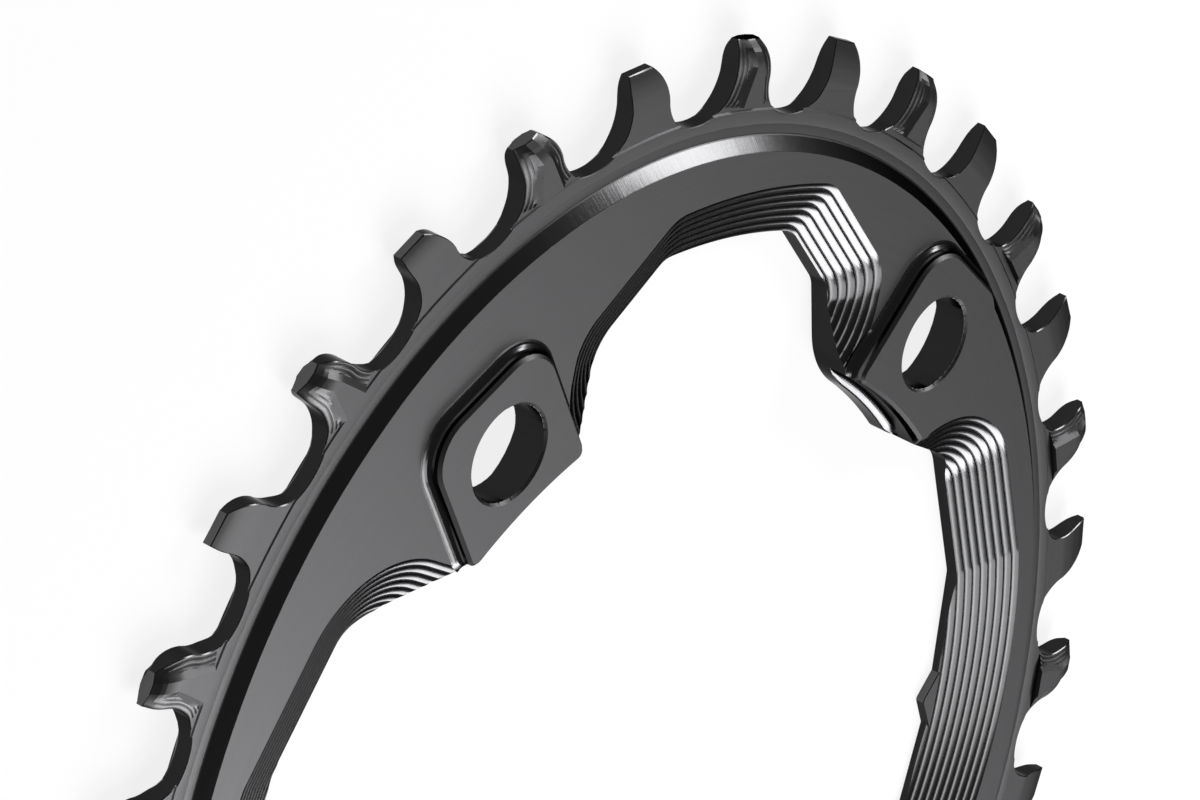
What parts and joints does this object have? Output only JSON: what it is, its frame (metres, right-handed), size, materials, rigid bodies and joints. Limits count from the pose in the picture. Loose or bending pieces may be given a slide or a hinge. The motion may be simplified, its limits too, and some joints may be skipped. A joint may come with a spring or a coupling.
{
  "type": "bicycle chainring",
  "caption": "Oval single chainring for a bicycle crank: alternating wide and narrow teeth round a flat machined ring with raised bolt bosses and terraced windows.",
  "frame": {"origin": "on the ring's axis, in the plane of its back face", "axes": "+Z along the axis, out of the front face with the bosses; X and Y along the sides of the rectangle that the four bolt holes make, X along the short side"},
  "size_m": [0.1286, 0.14, 0.0049],
  "materials": {
    "anodised_aluminium": "machined and black anodised, satin"
  },
  "bodies": {
    "root": {"chainring": "anodised_aluminium"}
  },
  "joints": []
}
